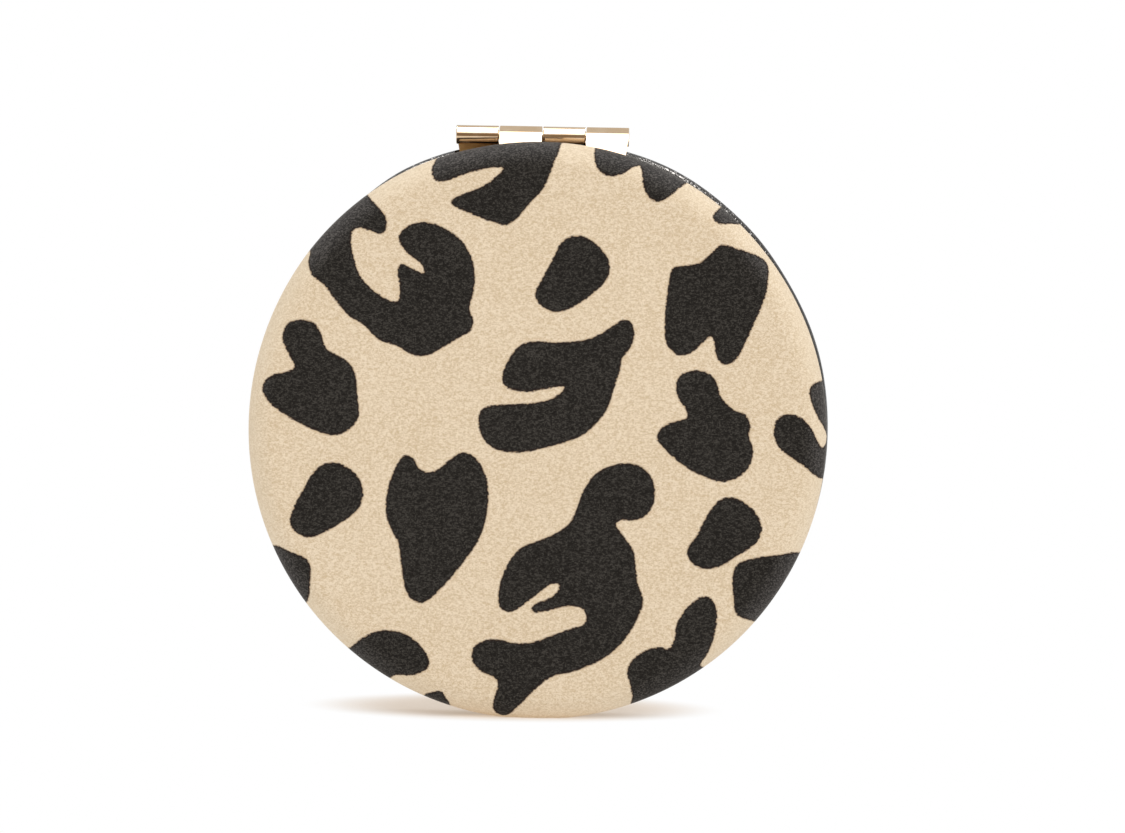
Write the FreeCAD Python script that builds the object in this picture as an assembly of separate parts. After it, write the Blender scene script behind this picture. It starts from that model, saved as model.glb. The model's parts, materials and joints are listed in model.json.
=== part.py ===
import FreeCAD, Part
import math
import os
from FreeCAD import Vector

# Round compact mirror: two covered halves on a four-knuckle hinge, with a mirror in each half.
# The closed compact stands on its rim. X runs along the hinge, Y through the thickness, Z up.
# The origin lies on the plane where the halves meet, under the middle of the rim.
# The base is at +Y and the lid at -Y. Lengths are in millimetres and angles in degrees.

# Case
case_diameter = 70.0        # across the covered edge of either half
cover_roll = 3.0            # rounding of the edge towards the outside face
skin_thickness = 0.7        # covering, on the outside and where it is turned in
turn_in_setback = 0.6       # from the wall of the shell to the end of the turned-in covering
settle = 0.25               # how far the soft covering flattens where it bears on the table
pad_thickness = 0.9         # foam under the covering
floor_thickness = 1.3       # floor of the moulded shell
glue_gap = 0.02             # film of glue between curved faces
near = 0.01                 # how close counts as the same place when an edge is looked for

# Inside of each half
parting_gap = 0.4           # air between the two linings when closed
lining_thickness = 0.5
lining_inset = 0.4          # from the start of the rounded rim to the lining's outer edge
lining_overhang = 0.3       # lining that reaches past the wall of the shell
lining_round = 0.15         # softened edge of the lining
border_width = 5.7          # from the edge of a mirror to the edge of the case
mirror_side_gap = 0.2       # between the edge of a mirror and its lining
mirror_recess = 0.2         # face of a mirror below the face of its lining
glass_thickness = 1.2
glass_chamfer = 0.25        # ground edge of the glass
magnifier_sag = 0.6         # hollow of the magnifying mirror
mirror_float = 0.07         # least air behind a mirror
tape_width = 12.0           # ring of tape that holds a mirror
tape_leaf_gap = 1.5         # from the tape to the hinge leaf

# Closure
magnet_diameter = 3.0
magnet_thickness = 1.2
magnet_clearance = 0.05
magnet_angle = 14.0         # each side of the point opposite the hinge

# Hinge
hinge_length = 21.0
knuckle_pairs = 2           # each leaf has one knuckle of every pair
knuckle_gap = 0.12          # between neighbouring knuckles
knuckle_round = 0.1         # softened ends of the knuckles
knuckle_flat = 0.2          # depth of the flat that the press leaves where a knuckle's curl starts
knuckle_flat_facing = 60.0  # which way that flat looks, up from level
curl_seam = 0.12            # open seam where a knuckle's curl ends against its own leaf
pin_diameter = 1.0
pin_clearance = 0.04        # radial
pin_rise = 0.6              # centre of the pin above the edge of the case
pin_end_round = 0.2
leaf_thickness = 0.6
leaf_lean = 28.0            # slope of the leaf where it rises to its knuckles
leaf_taper = 0.35           # each side, from the knuckles down to the flat of the leaf
leaf_corner = 1.2           # rounded corners under the mirror
leaf_bend = 0.5             # inside radius of the bend
leaf_under_mirror = 3.3     # length of leaf that the mirror covers
leaf_swing_gap = 2.05       # from a knuckle to the bottom of the notch in the other leaf
notch_side_gap = 0.25       # from each end of the hinge to the notch in the case

# Rivets
rivet_diameter = 1.2
rivet_head_diameter = 2.2
rivet_head_depth = 0.4
rivet_spacing = 12.0
rivet_inset = 1.9           # from the end of the leaf
rivet_clearance = 0.03      # radial

# Radii that follow from the sizes above
case_radius = case_diameter / 2
mirror_radius = case_radius - border_width
lining_inner_radius = mirror_radius + mirror_side_gap
tray_radius = lining_inner_radius + lining_overhang
pin_radius = pin_diameter / 2
bore_radius = pin_radius + pin_clearance
knuckle_radius = bore_radius + leaf_thickness
leaf_end_radius = mirror_radius - leaf_under_mirror
tape_outer_radius = leaf_end_radius - tape_leaf_gap
tape_inner_radius = tape_outer_radius - tape_width
rivet_radius = rivet_diameter / 2
rivet_head_radius = rivet_head_diameter / 2
magnet_radius = magnet_diameter / 2

# Heights of the disc's centre and of the pin above the floor
centre_height = case_radius - settle
pin_height = centre_height + case_radius + pin_rise

# Hollow of the magnifying mirror, part of a sphere
bowl_radius = (mirror_radius ** 2 + magnifier_sag ** 2) / (2 * magnifier_sag)


def bowl(radius):
    """Depth of the magnifying mirror's hollow at a distance from its centre."""
    return math.sqrt(bowl_radius ** 2 - radius ** 2) - (bowl_radius - magnifier_sag)


# Depths from the plane where the halves meet, outwards through one half
lining_face = parting_gap / 2
turn_in_face = lining_face + lining_thickness
rim_face = turn_in_face + skin_thickness
mirror_face = lining_face + mirror_recess
mirror_back = mirror_face + glass_thickness
room_for_bowl = magnifier_sag + mirror_float
room_for_leaf = bowl(leaf_end_radius) + mirror_float + leaf_thickness
floor_face = mirror_back + max(room_for_bowl, room_for_leaf)
floor_back = floor_face + floor_thickness
pad_back = floor_back + pad_thickness
cover_face = pad_back + skin_thickness
edge_depth = cover_face - cover_roll
rim_roll = edge_depth - turn_in_face
flat_radius = case_radius - cover_roll
rim_flat_radius = case_radius - rim_roll
lining_radius = rim_flat_radius - lining_inset
leaf_face = floor_face - leaf_thickness

# Hinge notch in the case
notch_half_width = hinge_length / 2 + notch_side_gap


def at(depth, radius):
    """A point of a section through one half, in the plane that is spun about the disc's axis."""
    return Vector(radius, depth, centre_height)


def line(*points):
    """Straight edges through points of a section."""
    return [Part.LineSegment(a, b).toShape() for a, b in zip(points, points[1:])]


def arc(depth, radius, roll, start, end):
    """Arc of a section about a centre: 0 degrees points away from the axis, 90 to the outside face."""
    turns = [math.radians(angle) for angle in (start, (start + end) / 2, end)]
    points = [at(depth + roll * math.sin(turn), radius + roll * math.cos(turn)) for turn in turns]
    return [Part.Arc(*points).toShape()]


def bowl_arc(depth, start, end):
    """Arc of a section along the hollow of the magnifying mirror, between two radii."""
    points = [at(depth + bowl(radius), radius) for radius in (start, (start + end) / 2, end)]
    return [Part.Arc(*points).toShape()]


def spin(edges):
    """Solid made by spinning a closed section about the disc's axis."""
    wire = Part.Wire(Part.__sortEdges__(edges))
    return Part.Face(wire).revolve(Vector(0, 0, centre_height), Vector(0, 1, 0), 360)


def disc(depth, radius, thickness, x=0.0, z=0.0):
    """Round bar along the depth, with its middle at x and z from the disc's centre."""
    return Part.makeCylinder(radius, thickness, Vector(x, depth, centre_height + z), Vector(0, 1, 0))


def round_edges(shape, depth):
    """Whole circles among a shape's edges that lie at one depth."""
    return [edge for edge in shape.Edges
            if edge.Closed and edge.BoundBox.YLength < near and abs(edge.CenterOfMass.y - depth) < near]


def hinge_notch(lowest):
    """Block that clears the hinge from a half, open to the parting plane, from a height up."""
    height = case_radius + pin_rise - lowest
    corner = Vector(-notch_half_width, -floor_face, centre_height + lowest)
    return Part.makeBox(2 * notch_half_width, 2 * floor_face, height, corner)


def cover():
    """Covering: over the outside face, round the edge, turned in onto the rim and flat where it bears."""
    turn_in_end = tray_radius + turn_in_setback
    outside = line(at(pad_back, 0), at(cover_face, 0), at(cover_face, flat_radius))
    outside += arc(edge_depth, flat_radius, cover_roll, 90, 0)
    outside += arc(edge_depth, rim_flat_radius, rim_roll, 0, -90)
    turned = line(at(turn_in_face, rim_flat_radius), at(turn_in_face, turn_in_end),
                  at(rim_face, turn_in_end), at(rim_face, rim_flat_radius))
    inside = arc(edge_depth, rim_flat_radius, rim_roll - skin_thickness, -90, 0)
    inside += arc(edge_depth, flat_radius, cover_roll - skin_thickness, 0, 90)
    inside += line(at(pad_back, flat_radius), at(pad_back, 0))
    turned_ring = disc(-floor_face, lining_radius, 2 * floor_face)
    notch = hinge_notch(0).cut(turned_ring)
    table = Part.makeBox(case_diameter, cover_face, settle, Vector(-case_radius, 0, -settle))
    return spin(outside + turned + inside).cut([notch, table])


def floor_edge():
    """Radius of the shell where its rounded edge meets the back of its floor, and that arc's angle."""
    roll = cover_roll - skin_thickness - glue_gap
    rise = floor_back - edge_depth
    return flat_radius + math.sqrt(roll ** 2 - rise ** 2), math.degrees(math.asin(rise / roll))


def pad():
    """Foam disc on the back of the shell, rounded with the covering."""
    roll = cover_roll - skin_thickness - glue_gap
    edge, angle = floor_edge()
    top = edge_depth + roll
    outline = line(at(floor_back, edge), at(floor_back, 0), at(top, 0), at(top, flat_radius))
    return spin(outline + arc(edge_depth, flat_radius, roll, 90, angle))


def shell():
    """Moulded tray: floor, low rim, notch for the hinge, rivet holes and magnet pockets."""
    roll = cover_roll - skin_thickness - glue_gap
    rim = rim_roll - skin_thickness - glue_gap
    top = edge_depth - rim
    edge, angle = floor_edge()
    outline = line(at(floor_back, 0), at(floor_back, edge))
    outline += arc(edge_depth, flat_radius, roll, angle, 0)
    outline += arc(edge_depth, rim_flat_radius, rim, 0, -90)
    outline += line(at(top, rim_flat_radius), at(top, tray_radius), at(floor_face, tray_radius),
                    at(floor_face, 0), at(floor_back, 0))
    body = spin(outline)
    pockets = [magnet_bar(x, z, magnet_clearance) for x, z in magnet_places()]
    holes = [rivet_bar(x, rivet_clearance) for x in rivet_places()]
    return body.cut([hinge_notch(leaf_end_radius), *pockets, *holes])


def lining():
    """Flat ring around a mirror, stuck on the turned-in covering."""
    ring = disc(lining_face, lining_radius, lining_thickness)
    ring = ring.cut(disc(lining_face, lining_inner_radius, lining_thickness))
    return ring.makeFillet(lining_round, round_edges(ring, lining_face))


def plain_mirror():
    """Flat glass with ground edges."""
    glass = disc(mirror_face, mirror_radius, glass_thickness)
    return glass.makeChamfer(glass_chamfer, round_edges(glass, mirror_face))


def magnifying_mirror():
    """Glass slumped to a shallow bowl, so that its face is hollow and its back stands out."""
    shown = mirror_radius - glass_chamfer
    outline = bowl_arc(mirror_face, 0, shown)
    outline += line(at(mirror_face + bowl(shown), shown),
                    at(mirror_face + glass_chamfer, mirror_radius), at(mirror_back, mirror_radius))
    outline += bowl_arc(mirror_back, mirror_radius, 0)
    outline += line(at(mirror_back + magnifier_sag, 0), at(mirror_face + magnifier_sag, 0))
    return spin(outline)


def plain_tape():
    """Ring of tape between the plain mirror and the floor of its shell."""
    thickness = floor_face - mirror_back
    ring = disc(mirror_back, tape_outer_radius, thickness)
    return ring.cut(disc(mirror_back, tape_inner_radius, thickness))


def bowl_tape():
    """Ring of tape pressed to the curved back of the magnifying mirror."""
    start = mirror_back + glue_gap
    outline = bowl_arc(start, tape_inner_radius, tape_outer_radius)
    outline += line(at(start + bowl(tape_outer_radius), tape_outer_radius),
                    at(floor_face, tape_outer_radius), at(floor_face, tape_inner_radius),
                    at(start + bowl(tape_inner_radius), tape_inner_radius))
    return spin(outline)


def magnet_places():
    """Middles of the two magnets, as x and z from the disc's centre, opposite the hinge."""
    reach = (tray_radius + rim_flat_radius) / 2
    angles = [math.radians(magnet_angle), math.radians(-magnet_angle)]
    return [(reach * math.sin(angle), -reach * math.cos(angle)) for angle in angles]


def magnet_bar(x, z, clearance=0.0):
    """One magnet under the turned-in covering, or its pocket, which is larger by a clearance."""
    return disc(rim_face + glue_gap, magnet_radius + clearance, magnet_thickness + clearance, x, z)


def magnets():
    """The two closure magnets of one half."""
    return Part.makeCompound([magnet_bar(x, z) for x, z in magnet_places()])


def rivet_places():
    """Places of the two rivets along the hinge."""
    return [-rivet_spacing / 2, rivet_spacing / 2]


def rivet_bar(x, clearance=0.0):
    """One rivet with a flush head at each end, or its hole, which is larger by a clearance."""
    height = leaf_end_radius + rivet_inset
    shank = rivet_radius + clearance
    head = rivet_head_radius + clearance
    length = floor_back - leaf_face
    middle = Vector(x, leaf_face, centre_height + height)
    along = Vector(0, 1, 0)
    front = Part.makeCone(head, shank, rivet_head_depth, middle, along)
    bar = Part.makeCylinder(shank, length, middle, along)
    tail = Part.makeCone(shank, head, rivet_head_depth, middle + along * (length - rivet_head_depth), along)
    return bar.fuse([front, tail]).removeSplitter()


def rivets():
    """The two rivets of one leaf."""
    return Part.makeCompound([rivet_bar(x) for x in rivet_places()])


def knuckle_span(index):
    """Ends of one knuckle along the hinge, counted from the left, with half a gap off each end."""
    pitch = hinge_length / (2 * knuckle_pairs)
    start = -hinge_length / 2 + index * pitch
    return start + knuckle_gap / 2, start + pitch - knuckle_gap / 2


def knuckle(index):
    """Round bar of one knuckle, with softened ends."""
    start, end = knuckle_span(index)
    bar = Part.makeCylinder(knuckle_radius, end - start, Vector(start, 0, pin_height), Vector(1, 0, 0))
    return bar.makeFillet(knuckle_round, [edge for edge in bar.Edges if edge.Closed])


def beside_pin(facing, nearest, furthest, above, below):
    """Bar along the hinge that looks one way from the pin, between two distances from its axis."""
    corner = Vector(-hinge_length / 2, -above, nearest)
    bar = Part.makeBox(hinge_length, above + below, furthest - nearest, corner)
    bar.rotate(Vector(0, 0, 0), Vector(1, 0, 0), facing - 90)
    bar.translate(Vector(0, 0, pin_height))
    return bar


def leaf_section():
    """Section of the bent leaf: flat on the floor of the shell, then leaning up to its knuckles."""
    lean = math.radians(leaf_lean)
    outward = (math.cos(lean), math.sin(lean))
    downward = (math.sin(lean), -math.cos(lean))
    end = centre_height + leaf_end_radius

    def slope(radius, depth):
        """Tangent point on a circle about the pin, and where its tangent reaches a depth."""
        top = (radius * outward[0], pin_height + radius * outward[1])
        run = (depth - top[0]) / downward[0]
        return top, (depth, top[1] + run * downward[1])

    outer_top, outer_bend = slope(knuckle_radius, floor_face)
    inner_top, inner_bend = slope(bore_radius, leaf_face)
    points = [(floor_face, end), outer_bend, outer_top, inner_top, inner_bend, (leaf_face, end)]
    corners = [Vector(0, depth, height) for depth, height in points]
    return Part.makePolygon([*corners, corners[0]]), outer_bend[1], inner_bend[1]


def leaf():
    """Hinge leaf of the base: bent plate with every other knuckle, from the left end on."""
    section, outer_bend, inner_bend = leaf_section()
    half = hinge_length / 2
    plate = Part.Face(section).extrude(Vector(2 * half, 0, 0))
    plate.translate(Vector(-half, 0, 0))

    def bend(height):
        """Edges of the plate along the hinge at one height."""
        return [edge for edge in plate.Edges
                if edge.Length > half and abs(edge.CenterOfMass.z - height) < near]

    plate = plate.makeFillet(leaf_bend, bend(inner_bend))
    plate = plate.makeFillet(leaf_bend + leaf_thickness, bend(outer_bend))

    low = half - leaf_taper
    high = half - knuckle_gap / 2
    end = centre_height + leaf_end_radius
    top = pin_height + knuckle_radius
    shape = [(-low, end), (low, end), (low, outer_bend), (high, pin_height), (high, top),
             (-high, top), (-high, pin_height), (-low, outer_bend)]
    corners = [Vector(x, 0, z) for x, z in shape]
    blank = Part.Face(Part.makePolygon([*corners, corners[0]])).extrude(Vector(0, floor_face, 0))
    ends = [edge for edge in blank.Edges
            if edge.BoundBox.XLength + edge.BoundBox.ZLength < near
            and abs(edge.CenterOfMass.z - end) < near]
    plate = plate.common(blank.makeFillet(leaf_corner, ends))

    swing = knuckle_radius + leaf_swing_gap
    notches = []
    for index in range(1, 2 * knuckle_pairs, 2):
        start, finish = knuckle_span(index)
        place = Vector(start - knuckle_gap, 0, pin_height)
        notches.append(Part.makeCylinder(swing, finish - start + 2 * knuckle_gap, place, Vector(1, 0, 0)))
    bore = Part.makeCylinder(bore_radius, hinge_length, Vector(-half, 0, pin_height), Vector(1, 0, 0))
    flat = beside_pin(knuckle_flat_facing, knuckle_radius - knuckle_flat, 2 * knuckle_radius,
                      knuckle_radius, knuckle_radius)
    seam = beside_pin(leaf_lean, bore_radius - curl_seam, bore_radius, 0, knuckle_radius)
    holes = [rivet_bar(x, rivet_clearance) for x in rivet_places()]
    joined = plate.cut(notches).fuse([knuckle(index) for index in range(0, 2 * knuckle_pairs, 2)])
    return joined.cut([bore, flat, seam, *holes]).removeSplitter()


def hinge_pin():
    """Pin through all four knuckles, with rounded ends."""
    start = Vector(-hinge_length / 2 + knuckle_gap / 2, 0, pin_height)
    pin = Part.makeCylinder(pin_radius, hinge_length - knuckle_gap, start, Vector(1, 0, 0))
    return pin.makeFillet(pin_end_round, [edge for edge in pin.Edges if edge.Closed])


def as_lid(shape):
    """The same piece in the lid: turned half round about the upright through the origin."""
    turned = shape.copy()
    turned.rotate(Vector(0, 0, 0), Vector(0, 0, 1), 180)
    return turned


pieces = {
    "base_cover": cover(),
    "base_pad": pad(),
    "base_shell": shell(),
    "base_lining": lining(),
    "base_mirror": magnifying_mirror(),
    "base_mirror_tape": bowl_tape(),
    "base_magnets": magnets(),
    "base_hinge_leaf": leaf(),
    "base_leaf_rivets": rivets(),
    "hinge_pin": hinge_pin(),
    "lid_cover": as_lid(cover()),
    "lid_pad": as_lid(pad()),
    "lid_shell": as_lid(shell()),
    "lid_lining": as_lid(lining()),
    "lid_mirror": as_lid(plain_mirror()),
    "lid_mirror_tape": as_lid(plain_tape()),
    "lid_magnets": as_lid(magnets()),
    "lid_hinge_leaf": as_lid(leaf()),
    "lid_leaf_rivets": as_lid(rivets()),
}

os.makedirs("parts", exist_ok=True)
for name, shape in pieces.items():
    shape.exportStep(f"parts/{name}.step")
    print(f"{name}: {len(shape.Solids)} solids, {shape.Volume:.1f} mm3, valid {shape.isValid()}")
print(f"half depth {cover_face:.3f}, edge depth {edge_depth:.3f}, pin height {pin_height:.3f}")
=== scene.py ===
# %% [markdown]
# # Dressing a covered compact mirror
# This pocket mirror has two round halves on a small gold hinge. The half in front is wrapped in pale
# faux suede with a black animal-spot print, and the half behind it in plain black coated cloth. The
# construction model already gives each piece its place and size, so the lesson only dresses it: it
# stretches the two coverings, draws the print, finishes the metal and the glass, and sets the light.

# %% Load the construction model
import json
import math

import bpy
import numpy as np
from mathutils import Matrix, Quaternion, Vector


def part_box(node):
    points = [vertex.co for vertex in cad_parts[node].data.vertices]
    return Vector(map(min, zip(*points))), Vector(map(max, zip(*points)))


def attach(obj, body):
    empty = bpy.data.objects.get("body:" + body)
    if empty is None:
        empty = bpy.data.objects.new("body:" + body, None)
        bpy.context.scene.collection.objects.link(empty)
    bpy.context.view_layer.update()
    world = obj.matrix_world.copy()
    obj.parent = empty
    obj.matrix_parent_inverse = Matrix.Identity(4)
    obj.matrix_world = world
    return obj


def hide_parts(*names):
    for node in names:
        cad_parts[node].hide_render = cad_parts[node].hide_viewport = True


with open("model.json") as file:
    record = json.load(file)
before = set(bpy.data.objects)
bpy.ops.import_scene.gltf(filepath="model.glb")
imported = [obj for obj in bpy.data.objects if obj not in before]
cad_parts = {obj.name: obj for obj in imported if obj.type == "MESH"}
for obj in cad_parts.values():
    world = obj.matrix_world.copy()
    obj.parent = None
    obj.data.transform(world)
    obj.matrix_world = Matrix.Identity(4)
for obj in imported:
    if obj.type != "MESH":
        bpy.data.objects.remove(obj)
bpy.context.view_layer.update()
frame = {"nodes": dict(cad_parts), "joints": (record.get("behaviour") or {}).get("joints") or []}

nodes = frame["nodes"]
print("construction pieces:", len(nodes))

# %% [markdown]
# ## Sizes come from the model
# A covering has to lie exactly where the construction has it, or the hinge would cut through it. So
# the sizes are measured on the model's own pieces. Only what a box can't tell, such as the thickness
# of the cloth and the roundings of the rim, is written here. A depth is a distance from the plane where
# the two halves meet, and a side says which half is meant: the lid lies towards the viewer, at -Y.

# %% Measure the case
MM = 0.001
LID = -1
BASE = 1
pin_rise = 0.6 * MM
cover_roll = 3.0 * MM
skin = 0.7 * MM
glue = 0.02 * MM
turn_in_end = 30.4 * MM

cover_low, cover_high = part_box("lid_cover")
case_radius = -cover_low.x
face_depth = -cover_low.y
turn_in_depth = -cover_high.y
pin = Vector(frame["joints"][0]["pos_m"])
centre = Vector((0.0, 0.0, pin.z - pin_rise - case_radius))

edge_depth = face_depth - cover_roll
flat_radius = case_radius - cover_roll
rim_roll = edge_depth - turn_in_depth
rim_radius = case_radius - rim_roll
print(f"half depth {face_depth / MM:.2f} mm, widest at {edge_depth / MM:.2f} mm")
print(f"centre {centre.z / MM:.2f} mm up")

# %% [markdown]
# ## Helpers for round pieces
# Almost everything here is round, and a round piece is quickest to make on a lathe. Blender has the
# Spin operator for that, but on a fine section the Screw modifier is many times quicker, and with no
# rise it turns the same shape. There is no point primitive, so a small plane at the disc's middle is
# merged to one point, which is moved to the start of the section and extruded from place to place.
# After the turn the doubled points are merged, and the normals are made to point outwards.

# %% Turn a section
same_place = 0.002 * MM


def let_go():
    """Leave edit mode and select nothing, so that the next operator acts on one piece only."""
    if bpy.context.object and bpy.context.object.mode != "OBJECT":
        bpy.ops.object.mode_set(mode="OBJECT")
    bpy.ops.object.select_all(action="DESELECT")


def work_on(piece):
    """Select one piece and make it the active one."""
    let_go()
    piece.select_set(True)
    bpy.context.view_layer.objects.active = piece


def settle_at_origin(piece):
    """Put a piece's place, turn and scale into its mesh."""
    work_on(piece)
    bpy.ops.object.transform_apply(location=True, rotation=True, scale=True)


def turn_piece(name, section, side, steps):
    """Round piece from a section given as (depth, radius) pairs, for one half."""
    points = [Vector((radius, side * depth, 0.0)) for depth, radius in section]
    let_go()
    bpy.ops.mesh.primitive_plane_add(size=MM, location=centre)
    piece = bpy.context.object
    piece.name = name
    bpy.ops.object.mode_set(mode="EDIT")
    bpy.ops.mesh.merge(type="CENTER")
    bpy.ops.transform.translate(value=points[0])
    for here, there in zip(points, points[1:]):
        bpy.ops.mesh.extrude_region_move(TRANSFORM_OT_translate={"value": there - here})
    bpy.ops.object.mode_set(mode="OBJECT")
    lathe = piece.modifiers.new("lathe", "SCREW")
    lathe.axis = "Y"
    lathe.steps = steps
    lathe.render_steps = steps
    bpy.ops.object.modifier_apply(modifier=lathe.name)
    settle_at_origin(piece)
    bpy.ops.object.mode_set(mode="EDIT")
    bpy.ops.mesh.select_all(action="SELECT")
    bpy.ops.mesh.remove_doubles(threshold=same_place)
    bpy.ops.mesh.normals_make_consistent(inside=False)
    bpy.ops.object.mode_set(mode="OBJECT")
    return piece


def run(start, end, step):
    """Even places after a start and up to an end, about one step apart."""
    count = max(1, round(abs(end - start) / step))
    return [start + (end - start) * (index + 1) / count for index in range(count)]


def roll(depth, radius, size, start, end, step):
    """Places along an arc of a section: 0 degrees points out from the axis, 90 to the outside face."""
    first, last = math.radians(start), math.radians(end)
    turns = run(first, last, step / size)
    return [(depth + size * math.sin(turn), radius + size * math.cos(turn)) for turn in turns]


# %% [markdown]
# ## The coverings
# Each covering is one round cut of cloth, stretched over the outside face, rolled round the edge and
# turned in under the lining. It could be a bare surface with a Solidify modifier, but the print needs
# a fine mesh on the outside only, so the section goes round the whole thickness: fine steps outside,
# wide steps inside.

# %% Section of a covering
print_step = 0.4 * MM
back_step = 2.0 * MM
wrap_steps = 480


def wrap_section():
    """Section of a covering: outside face, rolled edge and turn-in, then back along the inside."""
    section = [(face_depth, 0.0)]
    section += [(face_depth, radius) for radius in run(0.0, flat_radius, print_step)]
    section += roll(edge_depth, flat_radius, cover_roll, 90, 0, print_step)
    section += roll(edge_depth, rim_radius, rim_roll, 0, -90, print_step)
    section += [(turn_in_depth, radius) for radius in run(rim_radius, turn_in_end, print_step)]
    section += [(turn_in_depth + skin, turn_in_end), (turn_in_depth + skin, rim_radius)]
    section += roll(edge_depth, rim_radius, rim_roll - skin, -90, 0, print_step)
    section += roll(edge_depth, flat_radius, cover_roll - skin, 0, 90, print_step)
    section += [(face_depth - skin, radius) for radius in run(flat_radius, 0.0, back_step)]
    return section


print("places along the section:", len(wrap_section()))

# %% [markdown]
# ## Pleats, swells and a foot
# Cloth that is turned in over a round edge is too long for the smaller circle, so it gathers in small
# pleats, which are pressed in by moving points. Cloth stretched by hand is never quite even, so in a
# few places the rim swells by a tenth of a millimetre or more. Where the soft rim bears on the table it
# is flattened with a scale to zero height.

# %% Press the pleats, the swells and the foot
pleat_count = 84
pleat_depth = 0.16 * MM
pleat_width = 0.35
pleat_wander = 0.3
pleat_widths = (0.6, 1.2)
pleat_depths = (0.4, 1.0)
gather_start = 0.15


def mesh_places(piece):
    """Places of a mesh's points as an array."""
    places = np.empty(len(piece.data.vertices) * 3, np.float32)
    piece.data.vertices.foreach_get("co", places)
    return places.reshape(-1, 3).astype(float)


def set_places(piece, places):
    """Move a mesh's points to the places of an array."""
    piece.data.vertices.foreach_set("co", places.astype(np.float32).ravel())
    piece.data.update()


def smooth_share(values, start, end):
    """Share from 0 at the start to 1 at the end, easing in and out."""
    share = np.clip((values - start) / (end - start), 0.0, 1.0)
    return share * share * (3.0 - 2.0 * share)


def press_pleats(piece, side, seed):
    """Sink fine radial creases into the turned-in cloth, deeper towards the lining."""
    chance = np.random.default_rng(seed)
    places = mesh_places(piece)
    radius = np.hypot(places[:, 0], places[:, 2] - centre.z)
    depth = side * places[:, 1]
    turn = np.arctan2(places[:, 2] - centre.z, places[:, 0]) / math.tau % 1.0
    outside = np.hypot(np.maximum(radius - rim_radius, 0.0), depth - edge_depth) > rim_roll - skin / 2
    gather = smooth_share(edge_depth - depth, gather_start * rim_roll, rim_roll)
    gather = gather * outside * (depth < edge_depth)
    sink = np.zeros(len(places))
    for index in range(pleat_count):
        middle = (index + chance.uniform(-pleat_wander, pleat_wander)) / pleat_count
        width = pleat_width * chance.uniform(*pleat_widths) / pleat_count
        away = (turn - middle + 0.5) % 1.0 - 0.5
        sink += chance.uniform(*pleat_depths) * np.exp(-(away / width) ** 2)
    places[:, 1] += side * pleat_depth * np.minimum(sink, 1.0) * gather
    set_places(piece, places)


def swell_rim(piece, swells):
    """Push the rim outwards where the cloth is slack, each place an angle, a half width and a height."""
    places = mesh_places(piece)
    across = np.stack((places[:, 0], places[:, 2] - centre.z), axis=1)
    radius = np.hypot(across[:, 0], across[:, 1])
    angle = np.degrees(np.arctan2(across[:, 1], across[:, 0]))
    push = np.zeros(len(places))
    for middle, width, height in swells:
        push += height * np.exp(-((angle - middle) / width) ** 2)
    push *= smooth_share(radius, flat_radius, case_radius) / np.maximum(radius, MM)
    places[:, 0] += across[:, 0] * push
    places[:, 2] += across[:, 1] * push
    set_places(piece, places)


def press_foot(piece):
    """Flatten what would lie below the table."""
    below = mesh_places(piece)[:, 2] < 0.0
    work_on(piece)
    piece.data.polygons.foreach_set("select", np.zeros(len(piece.data.polygons), bool))
    piece.data.edges.foreach_set("select", np.zeros(len(piece.data.edges), bool))
    piece.data.vertices.foreach_set("select", below)
    bpy.ops.object.mode_set(mode="EDIT")
    bpy.ops.transform.resize(value=(1.0, 1.0, 0.0), center_override=(0.0, 0.0, 0.0))
    bpy.ops.object.mode_set(mode="OBJECT")
    return int(below.sum())


# %% [markdown]
# ## Slits for the hinge
# Each half's own two knuckles pass through its covering, so the rim is slit there, down to the ring of
# cloth under the lining. The other half's knuckles need only a shallow groove round the pin. Both are
# cut with Booleans that are applied at once, so that a plain mesh is left.

# %% Slit the rim and make the coverings
lining_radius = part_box("lid_lining")[1].x
leaf_depth = -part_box("lid_hinge_leaf")[0].y
hinge_half = 10.5 * MM
knuckle_length = hinge_half / 2
knuckle_radius = 1.14 * MM
slit_gap = 0.25 * MM
groove_steps = 48
cloth_smoothing = math.radians(40)
own_knuckles = {LID: (1, 3), BASE: (0, 2)}


def cut_away(piece, cutter):
    """Take a cutter out of a piece with an applied Boolean, and delete the cutter."""
    work_on(piece)
    cut = piece.modifiers.new("cut", "BOOLEAN")
    cut.operation = "DIFFERENCE"
    cut.solver = "MANIFOLD"
    cut.object = cutter
    bpy.ops.object.modifier_apply(modifier=cut.name)
    bpy.data.objects.remove(cutter)


def slit_for_hinge(piece, side):
    """Slit the rim at this half's knuckles, outside the ring under the lining, and groove it at the pin."""
    height = case_radius + pin_rise
    for index in own_knuckles[side]:
        middle = (index + 0.5) * knuckle_length - hinge_half
        let_go()
        bpy.ops.mesh.primitive_cube_add(size=1.0, location=centre + Vector((middle, 0.0, height / 2)),
                                        scale=(knuckle_length + 2 * slit_gap, 2 * leaf_depth, height))
        block = bpy.context.object
        settle_at_origin(block)
        let_go()
        bpy.ops.mesh.primitive_cylinder_add(vertices=wrap_steps, radius=lining_radius, depth=4 * leaf_depth,
                                            location=centre, rotation=(math.pi / 2, 0.0, 0.0))
        ring = bpy.context.object
        settle_at_origin(ring)
        cut_away(block, ring)
        cut_away(piece, block)
    let_go()
    bpy.ops.mesh.primitive_cylinder_add(vertices=groove_steps, radius=knuckle_radius + slit_gap,
                                        depth=2 * (hinge_half + slit_gap), location=pin,
                                        rotation=(0.0, math.pi / 2, 0.0))
    groove = bpy.context.object
    settle_at_origin(groove)
    cut_away(piece, groove)


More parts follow.
